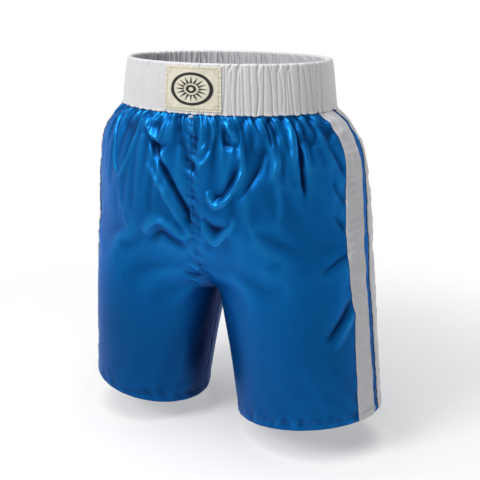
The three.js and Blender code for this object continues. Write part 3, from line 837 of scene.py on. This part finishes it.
def make_panel(side, face, material):
    downs = np.arange(BAND - TUCK, SIDE_END - HEM_HEIGHT - 0.001, ROW_STEP)
    hem = SIDE_END - HEM_HEIGHT + np.array([-0.0002, 0.0003, 0.002, 0.004, 0.006, 0.008, 0.010, 0.0114, 0.012])
    rows = row_at(np.concatenate([downs, hem]))
    columns = 150 if face == FRONT else 120
    arcs = [panel_arcs(vent_half_gap(r), surface.length(side, face, r) - SEAM_GAP, columns) for r in rows]
    arc = np.array(arcs)
    row = np.repeat(rows[:, None], arc.shape[1], 1)
    thickness = np.where(row > row_at(SIDE_END - HEM_HEIGHT), HEM_CLOTH, CLOTH)
    rounded = np.zeros_like(arc)
    rounded[-1] = HEM_CLOTH * 0.3
    outer = skin(side, face, row, arc, -rounded)
    inner = skin(side, face, row, arc, rounded - thickness)
    # the fold attribute holds painted shade and painted highlight for the satin's tone
    fold = painted_shade_and_highlight(side, face, row, arc, outer)[..., None]
    name = f"{SIDE_NAMES[side]}_{FACE_NAMES[face]}"
    panel = shell_piece(f"{name}_satin", outer, inner, material, mirrored(side, face),
                        flat=flat_coordinates(row, arc * face), fold=fold)
    declare(panel, "blue_satin", f"{name}_panel")


def make_stripe(side, face, material):
    rows = row_at(np.arange(BAND - TUCK, SIDE_END + 0.0001, 0.0017))
    inset = np.array([0, 0.00015, 0.0005, 0.0011, 0.002])
    width = STRIPE_TO - STRIPE_FROM
    arcs = STRIPE_FROM + np.concatenate([inset, np.linspace(0.0035, width - 0.0035, 16), width - inset[::-1]])
    row, arc = np.meshgrid(rows, arcs, indexing="ij")
    edge = np.minimum(arc - STRIPE_FROM, STRIPE_TO - arc)
    down = down_at(row)
    # the edges are turned under, so they stand up a little, and the tape ripples between its stitches
    rounded = STRIPE_CLOTH * (0.35 + 0.65 * smoothstep(edge, 0, 0.0005))
    turned = rounded + 0.00035 * (1 - smoothstep(edge, 0.004, 0.007))
    wavelengths = [0.011, 0.017, 0.023, 0.009, 0.031]
    ripple = 0.0004 * waves(np.stack([down, arc * 0.25], -1), wavelengths, 200 + 2 * side + face)
    between = smoothstep(edge, 0.001, 0.009)
    outer = skin(side, face, row, arc, LIFT + turned + (ripple + 0.0003) * between)
    inner = skin(side, face, row, arc, LIFT + 0.15 * turned)
    name = f"{SIDE_NAMES[side]}_{FACE_NAMES[face]}"
    stripe = shell_piece(f"{name}_tape", outer, inner, material, mirrored(side, face),
                         flat=flat_coordinates(row, arc * face))
    declare(stripe, "stripe_satin", f"{name}_stripe")


def declare(piece, slot, *nodes, body="shorts"):
    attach(piece, body)
    if nodes:
        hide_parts(*nodes)


# ------------------------------------------------------------------ stitches

SIDES = 6
STITCH = 0.0023
PITCH = 0.0031
THREAD = 0.00026


def make_stitches(name, centres, along, normals, material, length=STITCH, radius=THREAD, lift=0.0001):
    """Short lengths of thread, each one an arch whose ends go into the cloth."""
    t = np.array([-0.5, -0.36, 0.0, 0.36, 0.5])
    thick = np.array([0.55, 0.9, 1.0, 0.9, 0.55]) * radius
    arch = np.array([-0.9, 0.1, 0.5, 0.1, -0.9]) * radius + lift
    turn = np.arange(SIDES) * 2 * math.pi / SIDES
    along = along / np.linalg.norm(along, axis=-1)[:, None]
    across = np.cross(normals, along)
    across /= np.linalg.norm(across, axis=-1)[:, None]
    out = np.cross(along, across)
    lengths = np.broadcast_to(length, len(centres))
    rings = (centres[:, None] + along[:, None] * (t * lengths[:, None])[..., None] + out[:, None] * arch[:, None])
    circle = across[:, None, None] * np.cos(turn)[:, None] + out[:, None, None] * np.sin(turn)[:, None]
    points = rings[:, :, None] + circle * thick[:, None, None]
    one = np.arange(5 * SIDES).reshape(5, SIDES)
    loop = np.concatenate([one, one[:, :1]], 1)
    quads = [grid_quads(loop)]
    for ring, order in ((one[0], 1), (one[-1], -1)):
        quads.append(np.array([ring[[0, 1, 2, 3]][::order], ring[[0, 3, 4, 5]][::order]]))
    quads = np.concatenate(quads)
    faces = (quads[None] + np.arange(len(centres))[:, None, None] * 5 * SIDES).reshape(-1, 4)
    return make_piece(name, points, faces, material)


def spaced(path, normals, pitch=PITCH):
    """Stitch places along a path: centres, directions and normals."""
    length = np.concatenate([[0], np.cumsum(np.linalg.norm(np.diff(path, axis=0), axis=1))])
    count = max(1, int(length[-1] / pitch))
    at = (np.arange(count) + 0.5) * length[-1] / count

    def sample(values, where):
        return np.stack([np.interp(where, length, values[:, k]) for k in range(3)], -1)

    ahead = sample(path, at + pitch * 0.3) - sample(path, at - pitch * 0.3)
    return sample(path, at), ahead, sample(normals, at)


def sewn_line(side, face, rows, arcs, lift=0.0):
    """Stitch places along a line on a panel, or on the stripe above it."""
    rows, arcs = np.broadcast_arrays(np.asarray(rows, float), np.asarray(arcs, float))
    return spaced(skin(side, face, rows, arcs, lift), surface.normal(side, face, rows, arcs))


def joined(*runs):
    return [np.concatenate(parts) for parts in zip(*runs)]


def make_threads(material_blue, material_white):
    top = row_at(BAND + 0.0015)
    fine = np.linspace(0, 1, 900)
    for side in (LEFT, RIGHT):
        name = SIDE_NAMES[side]
        for face in (FRONT, BACK):
            rows = top + (CROTCH_ROW - 1 - top) * fine
            arcs = surface.length(side, face, rows) - 0.004
            node = f"{name}_centre_{FACE_NAMES[face]}_thread"
            declare(make_stitches(f"{node}_stitches", *sewn_line(side, face, rows, arcs), material_blue),
                    "blue_thread", node)
            for edge, arc in (("inner", STRIPE_FROM + 0.002), ("outer", STRIPE_TO - 0.002)):
                rows = top + (ROWS - 1.2 - top) * fine
                node = f"{name}_{FACE_NAMES[face]}_stripe_{edge}_thread"
                places = sewn_line(side, face, rows, arc, LIFT + STRIPE_CLOTH + 0.00025)
                declare(make_stitches(f"{node}_stitches", *places, material_white), "white_thread", node)
        rows = CROTCH_ROW + 1 + (ROWS - 1.3 - CROTCH_ROW - 1) * fine
        places = sewn_line(side, BACK, rows, surface.length(side, BACK, rows) - 0.004)
        declare(make_stitches(f"{name}_inseam_stitches", *places, material_blue), "blue_thread",
                f"{name}_inseam_thread")
        rows = top + (row_at(SIDE_END - VENT) - top) * fine
        places = sewn_line(side, FRONT, rows, 0.004)
        declare(make_stitches(f"{name}_side_seam_stitches", *places, material_blue), "blue_thread",
                f"{name}_side_seam_thread")
        hem = row_at(SIDE_END - HEM_HEIGHT * 0.84)
        runs = []
        for face in (FRONT, BACK):
            arcs = 0.003 + (surface.length(side, face, hem) - 0.0045) * fine
            under = (arcs > STRIPE_FROM - 0.001) & (arcs < STRIPE_TO + 0.001)
            over = sewn_line(side, face, hem, arcs[under], LIFT + STRIPE_CLOTH + 0.0003)
            runs += [sewn_line(side, face, hem, arcs[arcs <= STRIPE_FROM - 0.001]), over,
                     sewn_line(side, face, hem, arcs[arcs >= STRIPE_TO + 0.001])]
        declare(make_stitches(f"{name}_hem_stitches", *joined(*runs), material_blue), "blue_thread",
                f"{name}_hem_thread")
        declare(make_vent_tack(side, material_blue), "blue_thread", f"{name}_vent_tack")


def make_vent_tack(side, material):
    """Close stitches across the side seam, at the top of its vent."""
    downs = SIDE_END - VENT + np.arange(-4, 5) * 0.0005
    ends = [skin(side, face, row_at(downs), 0.0026) for face in (FRONT, BACK)]
    normals = surface.normal(side, FRONT, row_at(downs), 0.0026 + 0 * downs)
    centres = (ends[0] + ends[1]) / 2 + normals * 0.0004
    return make_stitches(f"{SIDE_NAMES[side]}_vent_tack_stitches", centres, ends[1] - ends[0], normals, material,
                         length=0.0056, radius=0.0003)


# ------------------------------------------------------------------ waistband

BAND_ANGLES = np.linspace(-math.pi, math.pi, 4001)
RING = np.stack([BAND_WIDE * np.sin(BAND_ANGLES), -BAND_DEEP * np.cos(BAND_ANGLES)], -1)
BAND_ARCS = np.concatenate([[0], np.cumsum(np.linalg.norm(np.diff(RING, axis=0), axis=1))])
BAND_ROUND = BAND_ARCS[-1]
BAND_ARCS = BAND_ARCS - BAND_ROUND / 2
CASING_DEPTH = 0.007
WALL = 0.0009


def band_point(around, depth, out=0.0):
    """A point on the waistband: around it from the centre front to the wearer's left, down it, and out from it."""
    around, depth, out = (values.astype(float) for values in np.broadcast_arrays(around, depth, out))
    angle = np.interp((around + BAND_ROUND / 2) % BAND_ROUND - BAND_ROUND / 2, BAND_ARCS, BAND_ANGLES)
    inside = 1 - depth / BAND
    wide, deep = BAND_WIDE - TOP_TAPER * inside, BAND_DEEP - TOP_TAPER_DEEP * inside
    x, y = np.sin(angle), -np.cos(angle)
    normal = np.stack([x / wide, y / deep], -1)
    normal /= np.linalg.norm(normal, axis=-1)[..., None]
    return np.stack([wide * x + normal[..., 0] * out, deep * y + normal[..., 1] * out, -depth], -1)


def band_normal(around, depth):
    return (band_point(around, depth, 0.001) - band_point(around, depth, 0.0)) / 0.001


def band_form(around, depth):
    """The waistband's own soft shape, the same for its outer wall and for the badge sewn to it."""
    sway = waves(np.stack([around, depth * 0.6], -1), [0.06, 0.09, 0.045, 0.13], 31)
    return 0.0006 * np.sin(math.pi * np.clip(depth / BAND, 0, 1)) + 0.00035 * sway


def rib_strength(around):
    """How deep the gathers are: full beside the badge on the wearer's left, faint under it and at the sides."""
    left_side = np.exp(-((around - 0.205) / 0.026) ** 4)
    right_side = np.exp(-((around + 0.205) / 0.026) ** 4)
    front_right = smoothstep(-around, 0.030, 0.050) * (1 - smoothstep(-around, 0.165, 0.185))
    badge = 1 - smoothstep(abs(around), 0.038, 0.050)
    return np.clip(1 - 0.85 * left_side - 0.85 * right_side - 0.6 * front_right - 0.6 * badge, 0.12, 1)


def gather_relief(around, depth):
    """Depth of the creases between the waistband's gathers, as heights under its outer face."""
    rng = np.random.default_rng(21)
    height = np.zeros(around.shape)
    column_arcs = around[0]
    places = []
    at = -BAND_ROUND / 2
    while at < BAND_ROUND / 2 - 0.002:
        places.append(at)
        at += 0.0044 * rng.uniform(0.62, 1.4)
    share = depth / BAND
    for i, place in enumerate(places):
        strong = i % 2 == 0
        amount = (0.0021 if strong else 0.0011) * rng.uniform(0.6, 1.15)
        width = rng.uniform(0.0008, 0.0014)
        lean, bend, phase = rng.normal(0, 0.0011), rng.normal(0, 0.0007), rng.uniform(0, 6.28)
        dart = rng.uniform(0.002, 0.005) if i % 3 == 0 else rng.normal(0, 0.0008)
        start, stop = sorted(rng.uniform(-0.5, 1.5, 2)) if not strong else (-1, 2)
        near = np.flatnonzero(abs((column_arcs - place + BAND_ROUND / 2) % BAND_ROUND - BAND_ROUND / 2) < 0.013)
        s, d = share[:, near], around[:, near]
        line = place + lean * (s - 0.5) * 2 + bend * np.sin(5.5 * s + phase) + dart * (1 - smoothstep(s, 0.0, 0.20))
        away = (d - line + BAND_ROUND / 2) % BAND_ROUND - BAND_ROUND / 2
        reach = smoothstep(s, start, start + 0.15) * (1 - smoothstep(s, stop - 0.15, stop))
        top = 1 + (0.9 if i % 3 == 0 else -0.2) * (1 - smoothstep(s, 0.08, 0.22))
        height[:, near] -= amount * reach * top * np.exp(-abs(away) / width)
    return height * rib_strength(around)


def make_casing(material):
    """One strip folded over the elastic: outer wall, fold along the top, inner wall, open along the bottom."""
    columns = 1700
    around = (np.arange(columns) / columns - 0.5) * BAND_ROUND
    outer_down = np.linspace(BAND, 0.003, 62)
    turn = np.linspace(0, math.pi, 13)[1:-1]
    inner_down = np.linspace(0.003, BAND, 26)
    depth = np.concatenate([outer_down, 0.003 - 0.0028 * np.sin(turn), inner_down])
    inward = np.concatenate([0 * outer_down, CASING_DEPTH / 2 * (1 - np.cos(turn)), CASING_DEPTH + 0 * inner_down])
    around, depth = np.meshgrid(around, depth, indexing="xy")
    inward = np.repeat(inward[:, None], columns, 1)
    on_outside = 1 - smoothstep(inward, 0.0005, CASING_DEPTH * 0.9)
    share = depth / BAND
    ribs = gather_relief(around, depth)
    lining = -0.0004 * abs(np.sin(math.pi * around / (BAND_ROUND / 268))) ** 0.7 * (1 - on_outside)
    hem = smoothstep(share, 0.93, 1.0) * on_outside
    scallop = 0.00035 * waves(around[..., None], [0.013, 0.019, 0.027, 0.009], 32)
    out = ribs * (1 + 0.3 * hem) - lining + band_form(around, depth) * on_outside + hem * (0.0006 + scallop)
    rim = smoothstep(0.006 - depth, 0, 0.006)
    lower = depth + hem * scallop + rim * (0.0006 - 0.35 * ribs)
    outer = band_point(around, lower, out - inward)
    facing = np.where(inward < CASING_DEPTH / 2, 1.0, -1.0)
    curve = np.clip((inward / CASING_DEPTH - 0.5) * -2, -1, 1)
    under = band_point(around, lower + WALL * np.sqrt(1 - curve ** 2) * (depth < 0.003), out - inward - WALL * curve)
    loop = np.concatenate([outer, under[::-1]])
    count, rows = columns, loop.shape[0]
    ids = np.arange(rows * count).reshape(rows, count)
    ids = np.concatenate([ids, ids[:, :1]], 1)
    ids = np.concatenate([ids, ids[:1]], 0)
    flat = np.stack([around, depth + inward * 2, np.zeros_like(depth)], -1)
    flat = np.concatenate([flat, flat[::-1]])
    casing = make_piece("waistband_satin", loop, grid_quads(ids), material, flat=flat)
    declare(casing, "white_satin", "waistband_casing")


def make_waist_seam(material):
    around = np.linspace(-BAND_ROUND / 2, BAND_ROUND / 2, 1800)
    depth = BAND - 0.0055
    path = band_point(around, depth, -CASING_DEPTH - 0.0002)
    places = spaced(path, -band_normal(around, depth))
    declare(make_stitches("waist_seam_stitches", *places, material), "white_thread", "waist_seam_thread")


def make_front_tack(material):
    """A little bar of white thread just under the badge, zigzagging over the seam."""
    count = 13
    across = np.linspace(-0.0026, 0.0026, count)
    slant = np.where(np.arange(count) % 2 == 0, 1, -1)
    depth = BAND + 0.0030 + 0 * across
    centres = band_point(across, depth, 0.0004)
    along = np.stack([0.5 * slant, 0 * across, 1 + 0 * across], -1)
    declare(make_stitches("front_tack_stitches", centres, along, band_normal(across, depth), material,
                          length=0.0034, radius=0.00032, lift=0.0003), "white_thread", "centre_front_tack")


# ------------------------------------------------------------------ badge

BADGE_LOW, BADGE_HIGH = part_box("front_badge")
BADGE_HALF = 0.041
BADGE_TOP, BADGE_BOTTOM = -BADGE_HIGH.z, -BADGE_LOW.z


def badge_print(across, up):
    """How much black and olive ink lies on the badge. A plain sunburst in an oval; lengths are in millimetres."""
    def ink(distance):
        return np.clip(0.5 - distance / 0.5, 0, 1)

    def band(value, low, high):
        return ink(abs(value - (low + high) / 2) - (high - low) / 2)

    radius = np.hypot(across / 1.5, up)
    angle = np.arctan2(up, across / 1.5)
    black = np.maximum(band(radius, 17.0, 20.5), ink(radius - 5.2) - ink(radius - 2.3))
    rays = 16
    from_ray = abs((angle * rays / (2 * math.pi) + 0.5) % 1 - 0.5) * 2 * math.pi / rays * radius
    ray_width = np.interp(radius, [7.0, 15.0], [1.35, 0.25])
    black = np.maximum(black, ink(from_ray - ray_width) * band(radius, 7.0, 15.2))
    box = np.maximum(abs(across) - 37.0, abs(up) - 25.0)
    olive = band(box, -0.5, 0.1)
    for x in (-1, 1):
        for y in (-1, 1):
            olive = np.maximum(olive, band(np.hypot(across - 37 * x, up - 25 * y), 6.0, 6.7) * ink(box))
    return black, olive * (1 - black)


def make_badge(material, thread):
    across = np.linspace(-BADGE_HALF, BADGE_HALF, 241)
    depth = np.linspace(BADGE_TOP, BADGE_BOTTOM, 205)
    across, depth = np.meshgrid(across, depth, indexing="xy")
    from_sides, from_ends = BADGE_HALF - abs(across), np.minimum(depth - BADGE_TOP, BADGE_BOTTOM - depth)
    edge = np.minimum(from_sides, from_ends)
    along_edge = np.where(from_sides < from_ends, depth, across)[..., None]
    swell = 0.0004 * waves(np.stack([across, depth], -1), [0.030, 0.022, 0.04, 0.017], 51)
    swell = swell * smoothstep(edge, 0.002, 0.012)
    pull = -0.0003 * np.exp(-((edge - 0.0025) / 0.0008) ** 2)
    pucker = 0.00018 * waves(along_edge, [0.006, 0.0043, 0.008], 52) * np.exp(-(edge / 0.005) ** 2)
    out = 0.0010 + band_form(across, depth) + swell + pull + pucker - 0.0004 * (1 - smoothstep(edge, 0, 0.0008))
    outer, inner = band_point(across, depth, out), band_point(across, depth, out - 0.0006)
    black, olive = badge_print(across * 1000, ((BADGE_TOP + BADGE_BOTTOM) / 2 - depth) * 1000)
    flat = np.stack([across, depth, 0 * depth], -1)
    badge = shell_piece("front_badge_cloth", outer, inner, material, True, flat=flat,
                        print=np.stack([black, olive, 0 * black], -1))
    declare(badge, "badge_cloth", "front_badge")
    inset = 0.0025
    x, top, bottom = BADGE_HALF - inset, BADGE_TOP + inset, BADGE_BOTTOM - inset
    corners = np.array([(-x, top), (x, top), (x, bottom), (-x, bottom), (-x, top)])
    t = np.linspace(0, 1, 120)[:, None]
    runs = []
    for a, b in zip(corners[:-1], corners[1:]):
        line = a + (b - a) * t
        runs.append(spaced(band_point(line[:, 0], line[:, 1], 0.0009), band_normal(line[:, 0], line[:, 1]), 0.0026))
    declare(make_stitches("badge_stitches", *joined(*runs), thread, length=0.0020), "white_thread", "badge_thread")


# ------------------------------------------------------------------ care label

LABEL_LOW, LABEL_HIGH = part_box("care_label")


def make_care_label(material):
    """A blank tape sewn by its top edge inside the centre back; its free end curls a little into the shorts."""
    across = np.linspace(LABEL_LOW.x, LABEL_HIGH.x, 61)
    down = np.linspace(0, LABEL_HIGH.z - LABEL_LOW.z, 89)
    across, down = np.meshgrid(across, down, indexing="xy")
    free = down / down.max()
    curl = -0.0042 * free ** 2.4 - 0.0016 * (across / LABEL_HIGH.x) ** 2 * free
    ripple = 0.0005 * waves(np.stack([across, down], -1), [0.03, 0.021, 0.045], 61) * smoothstep(free, 0.05, 0.3)
    y = LABEL_HIGH.y - 0.0001 + np.minimum(curl + ripple, 0)
    z = LABEL_HIGH.z - down + 0.0012 * free ** 3
    outer = np.stack([across, y, z], -1)
    inner = outer - [0, 0.00042, 0]
    label = shell_piece("care_label_cloth", outer, inner, material, True, flat=np.stack([across, down, 0 * down], -1))
    declare(label, "label_cloth", "care_label", body="care_label")


# ------------------------------------------------------------------ build

bpy.context.scene.view_settings.view_transform = "Standard"
make_camera()
make_floor()
make_world()
make_area_light("key", -28, 34, 2.2, 1.0, 27)
make_area_light("overhead", -10, 80, 2.2, 2.6, 45)

# the blue satin's ridge colour is a painted highlight and its valley colour painted shade, laid on by the fold
# attribute
blue = satin_material("blue_satin", (0.004, 0.150, 0.48), (0.003, 0.122, 0.415), 0.36, 0, 0.6, shine=(0.10, 0.5, 1),
                      ridge_highlight=(0.010, 0.220, 0.60), valley_shade=(0.001, 0.014, 0.075))
white = satin_material("white_satin", (0.66, 0.66, 0.67), (0.60, 0.60, 0.62), 0.42, 0.1)
# the stripes' satin is the waistband's white made a little darker: painted shade for the sides of the shorts
shaded_stripe_satin = satin_material("stripe_satin", (0.56, 0.56, 0.58), (0.50, 0.50, 0.53), 0.4, 0.1)
knit = satin_material("elastic_weave", (0.7, 0.7, 0.68), (0.6, 0.6, 0.58), 0.8, 0.1, weave=0.0012, weave_height=0.6)
badge_cloth = badge_material()
label_cloth = satin_material("label_cloth", (0.78, 0.78, 0.76), (0.7, 0.7, 0.68), 0.5, 0.2)
blue_thread = thread_material("blue_thread", (0.010, 0.13, 0.42))
white_thread = thread_material("white_thread", (0.72, 0.72, 0.72))

start, slack, lengths = build_grids()
worn_surface = Surface(start, lengths)
grids = simulate(start, slack)
rows = np.arange(ROWS)
# the share of the simulated folds that is kept: less below the gathers, and less again on the legs
calm = 0.9 - 0.35 * smoothstep(rows, 8, 30) - 0.35 * smoothstep(rows, CROTCH_ROW - 22, CROTCH_ROW + 10)
calm = calm[:, None, None]
surface = Surface({key: start[key] + (grids[key] - start[key]) * calm for key in grids}, lengths)

for side in (LEFT, RIGHT):
    for face in (FRONT, BACK):
        make_panel(side, face, blue)
        make_stripe(side, face, shaded_stripe_satin)
make_threads(blue_thread, white_thread)
make_casing(white)
make_waist_seam(white_thread)
make_front_tack(white_thread)
make_badge(badge_cloth, white_thread)
make_care_label(label_cloth)
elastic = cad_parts["waistband_elastic"]
elastic.data.materials.clear()
elastic.data.materials.append(knit)
